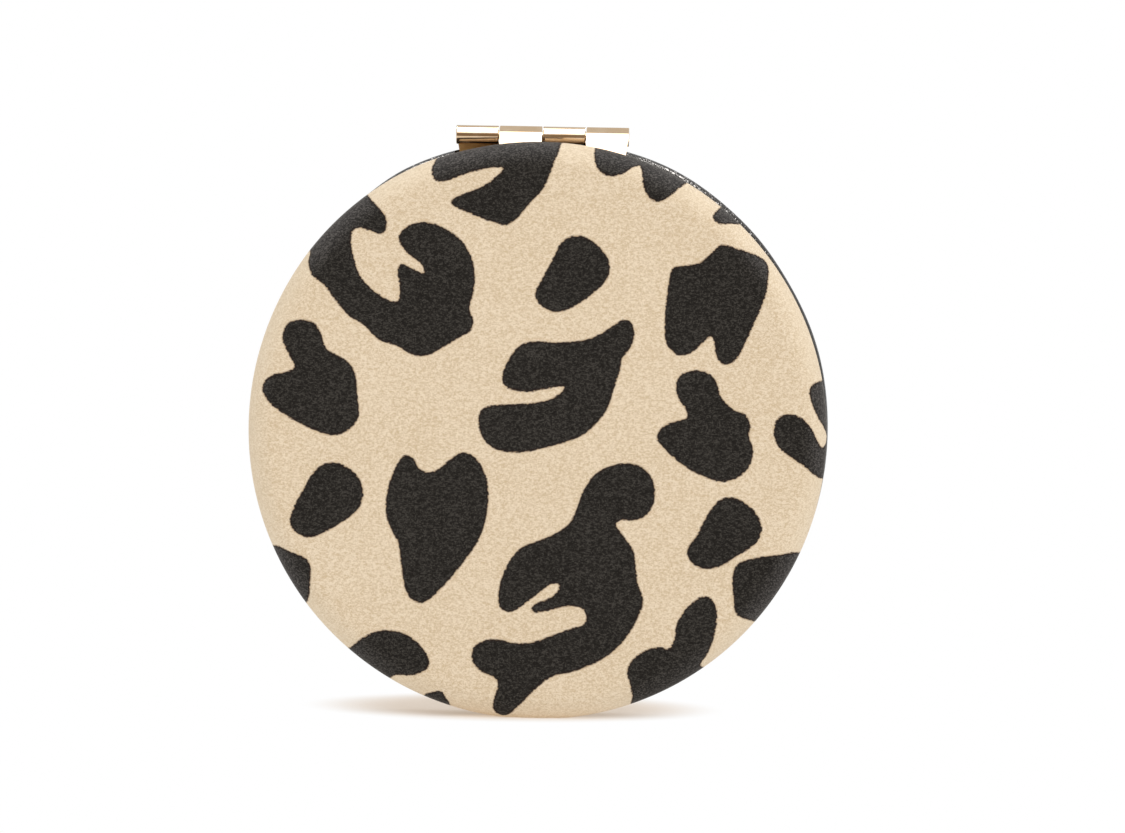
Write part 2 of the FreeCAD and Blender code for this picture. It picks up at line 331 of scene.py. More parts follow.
def make_covering(name, side, seed, swells):
    """One finished covering, stretched over its half."""
    piece = turn_piece(name, wrap_section(), side, wrap_steps)
    press_pleats(piece, side, seed)
    swell_rim(piece, swells)
    flattened = press_foot(piece)
    slit_for_hinge(piece, side)
    work_on(piece)
    bpy.ops.object.shade_smooth_by_angle(angle=cloth_smoothing)
    print(name, "faces:", len(piece.data.polygons), "flattened points:", flattened)
    return piece


lid_swells = [(60.0, 16.0, 0.10 * MM), (117.0, 9.0, 0.10 * MM), (132.0, 20.0, 0.18 * MM)]
base_swells = [(18.0, 12.0, 0.15 * MM), (42.0, 8.0, 0.15 * MM), (62.0, 15.0, 0.38 * MM),
               (109.0, 6.0, 0.15 * MM), (119.0, 8.0, 0.37 * MM), (146.0, 14.0, 0.12 * MM)]
lid_covering = make_covering("lid_suede_covering", LID, 3, lid_swells)
base_covering = make_covering("base_black_covering", BASE, 8, base_swells)

# %% [markdown]
# ## The animal-spot print
# The spots are soft-edged blotches of black on the pale cloth, some of them cut by the rim. A picture
# texture isn't used, so the spots are drawn as outlines: a few listed points each, with a smooth
# closed curve through them. Points are in millimetres from the middle of the disc, as seen from the
# front, and points outside the disc lie on the cloth round the edge. Each point of the fine mesh then
# stores how deep it lies inside a spot, and the shader turns that depth into ink. The folds behind the
# edge at the hinge stay bare.

# %% Spots in the upper half
spots = {
    "top": [
        (-12.3, 32.6), (-12.7, 31.2), (-12.25, 30.3), (-11.1, 30.2), (-9.3, 30.85), (-7.2, 31.5),
        (-5.0, 31.9), (-4.05, 31.75), (-4.9, 30.7), (-6.6, 29.5), (-8.5, 28.7), (-10.1, 28.0),
        (-10.25, 27.35), (-8.9, 26.65), (-6.8, 25.8), (-4.75, 25.1), (-3.6, 24.95), (-2.3, 25.9),
        (-0.85, 27.65), (0.6, 29.2), (1.45, 30.95), (2.0, 32.5), (2.6, 34.2), (3.0, 36.8),
        (-1.5, 38.2), (-6.5, 37.2), (-10.6, 35.4)],
    "top right": [
        (6.95, 34.0), (7.05, 32.4), (7.7, 31.3), (8.95, 30.85), (10.3, 31.15), (11.4, 31.85),
        (12.3, 32.1), (12.7, 31.25), (12.85, 29.6), (13.6, 28.2), (14.7, 27.75), (15.9, 28.4),
        (17.15, 29.45), (18.2, 30.3), (18.6, 32.3), (15.5, 34.3), (11.5, 35.8), (7.8, 36.3)],
    "right chip": [
        (22.2, 27.05), (21.45, 26.35), (21.3, 25.6), (22.05, 25.1), (23.4, 25.1), (24.6, 25.1),
        (25.6, 26.2), (24.4, 28.0), (22.9, 28.2)],
    "upper left ring": [
        (-20.7, 28.3), (-19.0, 26.7), (-18.3, 25.7), (-18.3, 24.4), (-18.9, 23.8), (-20.2, 24.2),
        (-21.5, 24.55), (-22.35, 24.1), (-22.55, 22.8), (-22.2, 20.8), (-21.6, 18.95), (-20.5, 17.5),
        (-19.0, 16.3), (-17.5, 15.55), (-16.7, 15.8), (-16.55, 17.5), (-16.85, 19.2), (-16.4, 20.1),
        (-15.2, 19.6), (-14.0, 19.0), (-13.55, 19.3), (-14.1, 20.3), (-15.4, 21.25), (-16.5, 22.65),
        (-16.6, 23.65), (-15.5, 24.75), (-13.4, 25.15), (-11.3, 24.45), (-9.35, 23.1), (-8.1, 21.2),
        (-7.6, 19.0), (-7.75, 16.8), (-8.25, 14.8), (-7.8, 13.4), (-8.1, 12.15), (-9.4, 11.35),
        (-11.2, 10.25), (-13.25, 9.15), (-15.0, 9.2), (-17.1, 10.35), (-19.2, 11.05), (-21.0, 12.85),
        (-22.6, 13.8), (-24.0, 15.3), (-25.6, 17.45), (-27.2, 18.85), (-27.65, 20.3), (-27.5, 21.6),
        (-29.2, 23.0), (-28.3, 25.2), (-25.0, 28.0), (-22.4, 29.6)],
    "upper bean": [
        (5.05, 23.55), (7.05, 22.6), (8.5, 20.75), (8.5, 18.7), (6.75, 16.75), (4.3, 15.05),
        (2.15, 14.4), (0.5, 15.2), (-0.23, 16.5), (0.6, 18.3), (1.85, 20.6), (3.1, 22.9)],
    "right tooth": [
        (16.7, 19.85), (18.4, 20.0), (19.7, 20.4), (21.05, 21.5), (22.2, 22.5), (23.9, 22.1),
        (26.2, 21.35), (27.6, 20.45), (27.9, 19.0), (27.4, 16.15), (26.25, 13.4), (25.1, 10.8),
        (24.1, 8.9), (22.7, 8.1), (21.7, 9.0), (21.4, 10.8), (20.9, 11.55), (19.7, 10.5),
        (18.3, 9.4), (16.8, 9.35), (15.6, 10.8), (15.45, 13.2), (15.7, 16.4), (16.1, 19.0)],
    "left club": [
        (-30.75, 11.5), (-30.1, 12.9), (-28.6, 13.3), (-27.1, 13.0), (-26.2, 11.7), (-25.6, 9.9),
        (-24.3, 9.1), (-22.7, 8.05), (-22.0, 6.5), (-21.8, 4.2), (-21.65, 1.8), (-22.7, 0.2),
        (-24.5, -0.55), (-26.2, -0.25), (-29.0, 1.05), (-31.6, 2.7), (-33.0, 4.2), (-33.1, 5.6),
        (-31.9, 6.65), (-29.9, 7.15), (-29.3, 7.8), (-30.0, 9.2), (-30.6, 10.5)],
    "middle ring": [
        (0.0, 10.75), (-1.75, 10.45), (-3.0, 9.25), (-4.0, 7.4), (-4.1, 5.8), (-3.0, 5.0),
        (-1.0, 4.8), (0.85, 5.1), (2.9, 5.45), (3.25, 5.0), (1.9, 3.95), (0.0, 3.4),
        (-2.6, 3.15), (-5.5, 3.0), (-6.8, 2.3), (-7.05, 0.7), (-6.3, -1.2), (-4.6, -2.35),
        (-2.0, -2.55), (0.9, -2.0), (3.3, -1.35), (5.6, -0.35), (7.3, 1.2), (8.5, 2.9),
        (9.2, 5.2), (9.9, 7.2), (10.25, 8.9), (11.2, 10.1), (11.65, 11.6), (11.35, 13.0),
        (10.5, 13.4), (9.2, 12.75), (7.6, 11.65), (5.45, 10.9), (2.8, 10.65)],
}
print("spots in the upper half:", len(spots))

# %% Spots in the lower half
spots.update({
    "right club": [
        (16.8, 5.35), (17.2, 6.6), (18.6, 7.25), (20.2, 7.15), (21.45, 6.2), (21.95, 4.6),
        (22.5, 3.65), (23.8, 2.5), (25.1, 2.0), (25.7, 0.6), (25.5, -0.6), (26.0, -2.3),
        (25.5, -4.3), (23.9, -5.7), (22.0, -6.0), (19.6, -5.2), (17.3, -3.85), (15.4, -2.1),
        (14.5, -0.8), (15.2, 0.5), (16.8, 1.2), (18.1, 1.6), (18.0, 2.6), (17.1, 4.0)],
    "right hook": [
        (34.5, 6.0), (33.4, 5.7), (32.9, 4.9), (33.1, 3.7), (33.75, 2.0), (34.6, 0.5),
        (34.97, -0.6), (34.8, -1.75), (34.35, -2.05), (33.85, -1.3), (33.0, 0.4), (31.8, 1.65),
        (30.3, 2.05), (29.0, 1.45), (28.6, -0.1), (29.1, -1.7), (30.25, -2.8), (32.0, -4.0),
        (34.3, -5.75), (36.8, -5.6), (38.2, -1.0), (37.6, 4.0), (36.0, 6.2)],
    "left bean": [
        (-24.9, -3.95), (-23.2, -4.4), (-21.7, -5.7), (-21.1, -7.6), (-21.7, -9.5), (-23.4, -10.9),
        (-25.6, -12.2), (-27.5, -12.95), (-29.2, -12.35), (-29.9, -11.0), (-29.3, -9.15),
        (-28.1, -6.9), (-26.7, -4.75)],
    "shield": [
        (-16.5, -3.5), (-15.7, -3.05), (-14.95, -3.5), (-14.4, -4.5), (-13.3, -5.1), (-12.0, -4.75),
        (-10.4, -3.45), (-9.1, -2.7), (-7.8, -3.1), (-6.7, -4.5), (-6.0, -6.8), (-6.1, -9.7),
        (-6.8, -12.4), (-8.2, -14.85), (-10.2, -17.4), (-12.2, -19.6), (-13.8, -20.8),
        (-15.2, -20.4), (-16.0, -18.9), (-16.45, -16.0), (-16.8, -13.6), (-17.8, -11.6),
        (-18.3, -9.3), (-17.8, -6.2)],
    "long spot": [
        (7.0, -5.3), (8.95, -4.25), (11.2, -3.95), (12.9, -4.6), (14.0, -6.2), (14.1, -8.2),
        (13.3, -9.95), (11.8, -10.75), (10.2, -10.7), (9.45, -11.3), (10.3, -12.7), (11.5, -14.4),
        (11.85, -16.5), (12.1, -18.5), (12.75, -20.4), (12.3, -22.1), (11.1, -24.4), (9.35, -26.5),
        (6.9, -28.1), (4.3, -29.1), (2.0, -29.65), (0.2, -30.8), (-1.8, -32.8), (-3.4, -34.25),
        (-4.5, -34.45), (-5.35, -33.6), (-5.1, -32.2), (-4.7, -30.7), (-5.3, -29.85), (-6.9, -29.05),
        (-7.85, -27.8), (-7.6, -26.2), (-6.2, -25.45), (-4.5, -25.4), (-2.6, -25.8), (-0.5, -25.65),
        (1.6, -24.9), (4.0, -24.05), (5.6, -23.5), (6.0, -22.3), (5.1, -21.3), (3.3, -21.25),
        (1.3, -21.7), (-0.2, -21.95), (-0.7, -21.55), (-0.1, -20.95), (1.5, -20.3), (2.6, -19.3),
        (2.5, -18.45), (1.5, -18.6), (0.0, -19.7), (-1.6, -20.95), (-3.1, -21.85), (-4.3, -21.55),
        (-4.7, -20.3), (-4.3, -18.0), (-3.3, -15.8), (-1.85, -14.15), (0.2, -13.35), (2.6, -12.25),
        (4.1, -10.95), (4.9, -9.2), (5.6, -7.3)],
    "right bean": [
        (21.9, -8.5), (23.5, -8.05), (25.2, -8.75), (26.6, -10.3), (27.05, -12.0), (26.2, -13.65),
        (24.0, -15.1), (22.05, -16.3), (20.0, -16.55), (18.5, -15.65), (18.2, -14.2), (19.4, -12.5),
        (20.5, -10.3)],
    "right edge": [
        (31.75, -14.85), (29.0, -15.0), (26.4, -15.35), (24.3, -16.05), (23.65, -17.6), (23.8, -20.6),
        (24.2, -22.2), (26.2, -23.1), (28.0, -24.2), (31.0, -21.2), (33.5, -16.6)],
    "left edge": [
        (-31.8, -14.1), (-30.0, -14.8), (-28.2, -15.45), (-27.5, -16.6), (-27.55, -18.6),
        (-27.85, -20.7), (-29.4, -22.2), (-32.0, -19.0), (-33.8, -15.6)],
    "lower left bean": [
        (-22.5, -26.3), (-21.0, -25.1), (-18.9, -24.3), (-16.6, -24.5), (-14.8, -25.5), (-13.3, -27.4),
        (-13.3, -28.75), (-15.0, -29.6), (-17.4, -29.7), (-19.6, -31.2), (-22.8, -29.2), (-24.2, -27.2)],
    "lower right": [
        (19.9, -20.1), (21.0, -20.3), (21.65, -21.9), (21.4, -24.5), (20.6, -26.8), (19.65, -28.2),
        (20.0, -28.9), (20.9, -30.4), (17.0, -33.2), (12.0, -35.4), (11.2, -33.4), (11.5, -32.2),
        (11.2, -30.4), (10.9, -29.1), (11.5, -27.8), (13.0, -26.65), (14.7, -26.2), (15.95, -26.4),
        (16.65, -25.1), (16.85, -23.6), (17.65, -21.95), (18.8, -20.8)],
    "bottom chip": [
        (-13.7, -32.2), (-12.65, -31.75), (-11.7, -31.65), (-11.1, -32.5), (-10.6, -33.4),
        (-10.9, -35.0), (-13.2, -34.5)],
})
print("spots in all:", len(spots))

# %% Lay the print on the cloth
print_turn = math.radians(0.9)
print_shift = np.array((0.12, 0.21)) * MM
print_reach = 1.5 * MM
bare_edge = 0.3 * MM
edge_stretch = cover_roll * math.pi / 2
rim_stretch = rim_roll * math.pi / 2


def smooth_outline(points, parts=6):
    """Closed smooth line through listed points: a Catmull-Rom curve, in metres."""
    here = np.array(points) * MM
    before, after, later = (np.roll(here, shift, axis=0) for shift in (1, -1, -2))
    share = np.linspace(0.0, 1.0, parts, endpoint=False)[:, None, None]
    curve = 2 * here + (after - before) * share
    curve = curve + (2 * before - 5 * here + 4 * after - later) * share ** 2
    curve = curve + (3 * here - before - 3 * after + later) * share ** 3
    return (curve / 2).transpose(1, 0, 2).reshape(-1, 2)


def seen_to_cloth(seen):
    """Places as seen from the front, as places on the flat cloth that is rolled round the edge."""
    radius = np.hypot(seen[:, 0], seen[:, 1])
    lean = np.arcsin(np.clip((radius - flat_radius) / cover_roll, 0.0, 1.0))
    cloth = np.minimum(radius, flat_radius) + cover_roll * lean + np.maximum(radius - case_radius, 0.0)
    flat = seen * (cloth / np.maximum(radius, MM))[:, None]
    across, up = math.cos(print_turn), math.sin(print_turn)
    turn = np.array(((across, -up), (up, across)))
    return flat @ turn.T + print_shift


def places_on_cloth(piece, side):
    """Each mesh point's place on the flat cloth."""
    places = mesh_places(piece)
    across = np.stack((places[:, 0], places[:, 2] - centre.z), axis=1)
    radius = np.hypot(across[:, 0], across[:, 1])
    depth = side * places[:, 1]
    front = np.arctan2(np.maximum(radius - flat_radius, 0.0), np.maximum(depth - edge_depth, 0.0))
    behind = np.arctan2(np.maximum(edge_depth - depth, 0.0), np.maximum(radius - rim_radius, 0.0))
    turned = flat_radius + edge_stretch + rim_roll * behind + np.maximum(rim_radius - radius, 0.0)
    rolled = np.minimum(radius, flat_radius) + cover_roll * front
    cloth = np.where(depth < edge_depth, turned, rolled)
    return across * (cloth / np.maximum(radius, 0.01 * MM))[:, None]


def depth_inside(places, outline):
    """Distance of each place from a closed outline, above zero inside it."""
    start, end = outline, np.roll(outline, -1, axis=0)
    along = end - start
    gap = places[:, None, :] - start
    share = np.clip((gap * along).sum(axis=2) / (along ** 2).sum(axis=1), 0.0, 1.0)
    nearest = np.linalg.norm(gap - share[:, :, None] * along, axis=2).min(axis=1)
    level = places[:, 1, None]
    crosses = (start[:, 1] > level) != (end[:, 1] > level)
    rise = np.where(along[:, 1] == 0.0, 1.0, along[:, 1])
    meets = start[:, 0] + (level - start[:, 1]) / rise * along[:, 0]
    inside = (crosses & (meets > places[:, 0, None])).sum(axis=1) % 2 == 1
    return np.where(inside, nearest, -nearest)


def lay_print(piece, side):
    """Store on every point how deep it lies in a spot, in millimetres; folds at the hinge are bare."""
    cloth = places_on_cloth(piece, side)
    depth = np.full(len(cloth), -print_reach)
    for points in spots.values():
        outline = seen_to_cloth(smooth_outline(points))
        low, high = outline.min(axis=0) - print_reach, outline.max(axis=0) + print_reach
        near = np.flatnonzero(((cloth > low) & (cloth < high)).all(axis=1))
        depth[near] = np.maximum(depth[near], depth_inside(cloth[near], outline))
    places = mesh_places(piece)
    under_hinge = hinge_half - bare_edge - np.abs(places[:, 0])
    behind_edge = edge_depth - bare_edge - side * places[:, 1]
    bare = np.where(places[:, 2] > centre.z, np.minimum(under_hinge, behind_edge), -print_reach)
    depth = np.minimum(depth, -bare)
    attribute = piece.data.attributes.new("print_depth", "FLOAT", "POINT")
    attribute.data.foreach_set("value", (depth / MM).astype(np.float32))
    return (depth > 0.0).mean()


print(f"share of the cloth's points under ink: {lay_print(lid_covering, LID):.2f}")

# %% [markdown]
# ## Writing shaders as sums
# A finish is easier to read as arithmetic than as a web of nodes. One small class wraps an output
# socket and overloads the signs, so that an expression adds its own Math nodes. A second one holds
# the material being written, and its one method adds any other node.

# %% Shader arithmetic
class Value:
    """One output of a material's node, so that shader maths reads as a Python expression."""

    def __init__(self, recipe, socket):
        self.recipe = recipe
        self.socket = socket

    def work_out(self, operation, first, second):
        return self.recipe.add("ShaderNodeMath", {"operation": operation}, {0: first, 1: second})

    def __add__(self, other):
        return self.work_out("ADD", self, other)

    def __sub__(self, other):
        return self.work_out("SUBTRACT", self, other)

    def __rsub__(self, other):
        return self.work_out("SUBTRACT", other, self)

    def __mul__(self, other):
        return self.work_out("MULTIPLY", self, other)

    __radd__ = __add__
    __rmul__ = __mul__


class Recipe:
    """A node tree being written: one method adds any node, and the rest are short forms of it."""

    def __init__(self, owner):
        owner.use_nodes = True
        self.tree = owner.node_tree

    def add(self, kind, settings=None, sockets=None, out=0):
        """Add a node of any kind, set it up and give one of its outputs."""
        node = self.tree.nodes.new(kind)
        for name, setting in (settings or {}).items():
            setattr(node, name, setting)
        self.feed(node, sockets or {})
        return Value(self, node.outputs[out])

    def feed(self, node, sockets):
        """Link values to a node's inputs, or set them to constants."""
        for name, value in sockets.items():
            if isinstance(value, Value):
                self.tree.links.new(value.socket, node.inputs[name])
            else:
                node.inputs[name].default_value = value

    def here(self):
        """The place on the piece, in metres."""
        return self.add("ShaderNodeTexCoord", out="Object")

    def moved(self, sockets):
        """A place, scaled and then shifted."""
        return self.add("ShaderNodeMapping", {"vector_type": "POINT"}, sockets, "Vector")

    def in_millimetres(self, stretch=(1.0, 1.0, 1.0)):
        """The place on the piece in millimetres, with each direction stretched."""
        return self.moved({"Vector": self.here(), "Scale": [share / MM for share in stretch]})

    def from_axis(self):
        """Distance from the disc's axis, in metres."""
        flatten = {"Location": (0.0, 0.0, -centre.z), "Scale": (1.0, 0.0, 1.0)}
        return self.length(self.moved({"Vector": self.here(), **flatten}))

    def length(self, vector):
        """Length of a vector."""
        return self.add("ShaderNodeVectorMath", {"operation": "LENGTH"}, {0: vector}, "Value")

    def parts(self, vector):
        """The X, Y and Z of a vector."""
        split = self.add("ShaderNodeSeparateXYZ", None, {"Vector": vector}).socket.node
        return {name: Value(self, split.outputs[name]) for name in "XYZ"}

    def noise(self, place, size, detail=2.0, roughness=0.5):
        """Soft noise from 0 to 1, with blotches of a size."""
        sockets = {"Vector": place, "Scale": 1.0 / size, "Detail": detail, "Roughness": roughness}
        return self.add("ShaderNodeTexNoise", {"noise_dimensions": "3D"}, sockets, "Fac")

    def cells(self, place, size, feature="F1"):
        """Distances in a pattern of cells of a size."""
        sockets = {"Vector": place, "Scale": 1.0 / size}
        return self.add("ShaderNodeTexVoronoi", {"feature": feature}, sockets, "Distance")

    def ease(self, value, start, end, low=0.0, high=1.0):
        """A value that eases from low at the start to high at the end."""
        sockets = {"Value": value, "From Min": start, "From Max": end, "To Min": low, "To Max": high}
        return self.add("ShaderNodeMapRange", {"interpolation_type": "SMOOTHSTEP"}, sockets, "Result")

    def blend(self, share, first, second):
        """Mix of two colours."""
        colours = [(*colour, 1.0) if isinstance(colour, tuple) else colour for colour in (first, second)]
        sockets = {0: share, 6: colours[0], 7: colours[1]}
        return self.add("ShaderNodeMix", {"data_type": "RGBA"}, sockets, 2)

    def bump(self, height, depth, strength=1.0):
        """Normal of a relief, whose depth is in millimetres."""
        sockets = {"Height": height, "Distance": depth * MM, "Strength": strength}
        return self.add("ShaderNodeBump", None, sockets, "Normal")


def new_finish(name, sockets):
    """A material with its constant sockets set, and the recipe to write the rest."""
    material = bpy.data.materials.new(name)
    recipe = Recipe(material)
    shader = recipe.tree.nodes["Principled BSDF"]
    recipe.feed(shader, sockets)
    return material, recipe, shader


def dress(piece, material):
    """Give a piece its finish."""
    piece.data.materials.clear()
    piece.data.materials.append(material)


# %% [markdown]
# ## Printed suede
# Faux suede is a cloth with a short brushed nap. Seen close, the pale colour is a mottle of fibres,
# nap and tufts, from a tenth to a third of a millimetre across, with slow drifts of tone where the nap
# lies another way. The ink sits on the nap, so its edge is ragged by a fibre or two and browner where
# it thins out. The fibres catch light at a glancing angle, which Sheen gives, and a fine bump breaks up
# the light. Near the rim both the cloth and the ink are painted paler, a painted sheen for the light
# that the fibres catch round the edge. On the ink this painted sheen is weaker towards the foot,
# because the light falls from above.

# %% Suede finish
cloth_pale = (0.815, 0.680, 0.512)
cloth_shade = (0.62, 0.476, 0.308)
# Painted sheen: the cloth's paler colour at the rim.
cloth_painted_sheen = (0.88, 0.77, 0.60)
ink_dark = (0.011, 0.009, 0.007)
ink_fibre = (0.054, 0.048, 0.041)
# Painted sheen: the ink's paler colours at the rim.
ink_dark_painted_sheen = (0.030, 0.027, 0.025)
ink_fibre_painted_sheen = (0.120, 0.109, 0.101)
ink_edge = (0.017, 0.010, 0.008)
ink_brown = (0.16, 0.085, 0.045)
fibre_size = 0.09
nap_size = 0.18
tuft_size = 0.38
tone_size = 7.0
nap_stretch = (0.62, 1.0, 1.0)
# Strength of the painted sheen on the pale cloth at the rim.
painted_sheen_share = 0.27
foot_height = 2.0 * MM
foot_fade = 12.0 * MM
# Share of the ink's painted sheen that is left at the foot, as the light falls from above.
foot_sheen_share = 0.3


def suede():
    """Short napped cloth with the print, painted paler near the rim as a painted sheen."""
    constants = {"Sheen Weight": 0.18, "Sheen Roughness": 0.3, "Sheen Tint": (1.0, 0.93, 0.84, 1.0),
                 "Specular IOR Level": 0.15}
    material, recipe, shader = new_finish("printed_suede", constants)
    place = recipe.in_millimetres(nap_stretch)
    fibres = recipe.noise(place, fibre_size, detail=1.0)
    nap = recipe.noise(place, nap_size, roughness=0.65)
    tufts = recipe.noise(place, tuft_size, detail=1.0)
    drift = recipe.noise(place, tone_size)
    depth = recipe.add("ShaderNodeAttribute", {"attribute_name": "print_depth"}, out="Fac")
    ragged = depth + (nap - 0.5) * 0.45 + (tufts - 0.5) * 0.25
    ink = recipe.ease(ragged, -0.08, 0.02)
    fringe = recipe.ease(ragged, -0.20, -0.04)
    mottle = (fibres - 0.5) * 0.8 + (nap - 0.5) * 2.1 + (tufts - 0.5) * 0.6
    mottle = mottle + (drift - 0.5) * 0.2 + 0.5
    # Painted sheen: near the rim the cloth and the ink are painted paler, for light the fibres catch round
    # the edge.
    rim_sheen = recipe.ease(recipe.from_axis(), flat_radius, case_radius)
    pale = recipe.blend(recipe.ease(mottle, 0.1, 0.9), cloth_shade, cloth_pale)
    pale = recipe.blend(rim_sheen * painted_sheen_share, pale, cloth_painted_sheen)
    # The painted sheen on the ink is weaker towards the foot, because the light falls from above.
    sheen_from_above = recipe.ease(recipe.parts(recipe.here())["Z"], foot_height, foot_height + foot_fade)
    ink_sheen = rim_sheen * (sheen_from_above * (1.0 - foot_sheen_share) + foot_sheen_share)
    low = recipe.blend(ink_sheen, ink_dark, ink_dark_painted_sheen)
    high = recipe.blend(ink_sheen, ink_fibre, ink_fibre_painted_sheen)
    dark = recipe.blend(recipe.ease(mottle, 0.3, 0.95), low, high)
    dark = recipe.blend(recipe.ease(ragged, 0.0, 0.3), ink_edge, dark)
    stained = recipe.blend(fringe * 0.55, pale, ink_brown)
    colour = recipe.blend(ink, stained, dark)
    height = nap * 0.6 + tufts * 0.4
    recipe.feed(shader, {"Base Color": colour, "Roughness": 0.95 - ink * 0.1,
                         "Normal": recipe.bump(height, 0.12, 0.6)})
    return material


dress(lid_covering, suede())
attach(lid_covering, "lid")
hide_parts("lid_cover")
print("printed:", lid_covering.name)

# %% [markdown]
# ## Black coated cloth
# The half behind is covered in a thin black coated cloth, the kind that imitates leather. Its grain is
# a net of fine valleys between small pebbles, under a millimetre across, and its slight gloss breaks
# into a row of glints on the rolled edge. Voronoi cells give the pebbles, and a wandering noise
# shifts their places so that no grid shows. Where the cloth is pulled in at the rim it is glossier
# than on the face.

# %% Coated cloth finish
coat_black = (0.0090, 0.0083, 0.0078)
coat_worn = (0.020, 0.0185, 0.0175)
coat_gloss = {"Specular IOR Level": 0.5, "IOR": 1.5, "Specular Tint": (1.0, 0.93, 0.86, 1.0)}
pore_size = 0.12
coat_tone_size = 9.0
gloss_fade = 0.4 * MM


def coated_cloth(name, pebble, bump_depth):
    """Black grained coating, with pebbles of a size in millimetres."""
    material, recipe, shader = new_finish(name, coat_gloss)
    place = recipe.in_millimetres()
    wander = recipe.add("ShaderNodeTexNoise", {"noise_dimensions": "3D"},
                        {"Vector": place, "Scale": 0.8 / pebble, "Detail": 2.0}, "Color")
    shift = recipe.add("ShaderNodeVectorMath", {"operation": "SCALE"}, {0: wander, "Scale": 0.9 * pebble})
    moved = recipe.add("ShaderNodeVectorMath", {"operation": "ADD"}, {0: place, 1: shift})
    pebbles = recipe.cells(moved, pebble, "DISTANCE_TO_EDGE")
    valley = recipe.ease(pebbles, 0.02, 0.22)
    pores = recipe.noise(place, pore_size)
    drift = recipe.noise(place, coat_tone_size)
    slack = recipe.ease(recipe.parts(recipe.here())["Y"], edge_depth - gloss_fade, edge_depth + gloss_fade)
    height = valley * 0.9 + pores * 0.1
    colour = recipe.blend(valley * 0.7 + drift * 0.3, coat_black, coat_worn)
    uneven = (drift - 0.5) * 0.08 + (pores - 0.5) * 0.08
    gloss = 0.26 - valley * 0.05 + uneven + slack * 0.16
    recipe.feed(shader, {"Base Color": colour, "Roughness": gloss,
                         "Normal": recipe.bump(height, bump_depth, 0.6)})
    return material


dress(base_covering, coated_cloth("black_covering", 0.72, 0.08))
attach(base_covering, "base")
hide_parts("base_cover")
print("coated:", base_covering.name)

# %% [markdown]
# ## Foam pads
# Under each covering a thin foam disc makes the face soft to the touch. It is hidden, but a model that
# is opened up should still show it, so it is turned from the same roundings, a film of glue smaller than
# the cloth that holds it.

# %% Make the foam pads
pad_low, pad_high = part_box("base_pad")
pad_roll = cover_roll - skin - glue
pad_start = math.degrees(math.asin((pad_low.y - edge_depth) / pad_roll))
pad_step = 1.2 * MM
pad_steps = 160


def pad_section():
    """Section of a foam pad: flat on the shell, rounded with the covering."""
    section = [(pad_high.y, 0.0)]
    section += [(pad_high.y, radius) for radius in run(0.0, flat_radius, pad_step)]
    section += roll(edge_depth, flat_radius, pad_roll, 90, pad_start, print_step)
    section += [(pad_low.y, radius) for radius in run(section[-1][1], 0.0, pad_step)]
    return section


def foam():
    """Pale open-cell foam, painted darker in the hollows of its cells as painted shade."""
    material, recipe, shader = new_finish("pad_foam", {"Roughness": 0.95, "Specular IOR Level": 0.2})
    place = recipe.in_millimetres()
    cells = recipe.cells(place, 0.45)
    dust = recipe.noise(place, 2.5, detail=3.0)
    hollow = recipe.ease(cells, 0.15, 0.6)
    # Painted shade: the hollows of the cells are painted darker.
    colour = recipe.blend(hollow * 0.8 + dust * 0.2, (0.84, 0.82, 0.76), (0.62, 0.59, 0.52))
    recipe.feed(shader, {"Base Color": colour, "Normal": recipe.bump(1.0 - hollow, 0.15)})
    return material


pad_foam = foam()
for side, body in ((LID, "lid"), (BASE, "base")):
    foam_pad = turn_piece(f"{body}_foam_pad", pad_section(), side, pad_steps)
    bpy.ops.object.shade_smooth_by_angle(angle=cloth_smoothing)
    dress(foam_pad, pad_foam)
    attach(foam_pad, body)
    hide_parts(f"{body}_pad")
    print(foam_pad.name, "faces:", len(foam_pad.data.polygons))

cloth_radius = flat_radius + edge_stretch + rim_stretch + rim_radius - turn_in_end
cloth_cut = 2 * cloth_radius

# %% [markdown]
# ## Linings
# A ring of black coated cloth frames each mirror and hides the end of the turned-in covering. It is
# a die-cut ring, pressed a little round at both edges, and its face swells towards the middle of its
# width, so that the two linings all but touch when the compact is closed. The same lathe makes it.

# %% Make the linings
lining_low, lining_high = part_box("base_lining")
lining_inner = 29.5 * MM
lining_round = 0.15 * MM
lining_swell = 0.17 * MM
lining_step = 0.3 * MM
lining_steps = 320
lining_smoothing = math.radians(50)


def lining_section():
    """Section of a lining: flat underneath, rounded edges and a slightly swollen face."""
    shoulder = lining_low.y + lining_round
    section = [(lining_high.y, lining_inner)]
    section += roll(shoulder, lining_inner + lining_round, lining_round, 180, 270, lining_round / 3)
    inner, outer = lining_inner + lining_round, lining_radius - lining_round
    for radius in run(inner, outer, lining_step)[:-1]:
        share = (2 * radius - inner - outer) / (outer - inner)
        section.append((lining_low.y - lining_swell * (1.0 - share ** 2), radius))
    section += [(lining_low.y, outer)]
    section += roll(shoulder, outer, lining_round, 270, 360, lining_round / 3)
    section += [(lining_high.y, lining_radius), (lining_high.y, lining_inner)]
    return section


lining_coat = coated_cloth("black_lining", 0.38, 0.04)
for side, body in ((LID, "lid"), (BASE, "base")):
    ring = turn_piece(f"{body}_lining_ring", lining_section(), side, lining_steps)
    bpy.ops.object.shade_smooth_by_angle(angle=lining_smoothing)
    dress(ring, lining_coat)
    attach(ring, body)
    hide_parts(f"{body}_lining")
    print(ring.name, "faces:", len(ring.data.polygons))

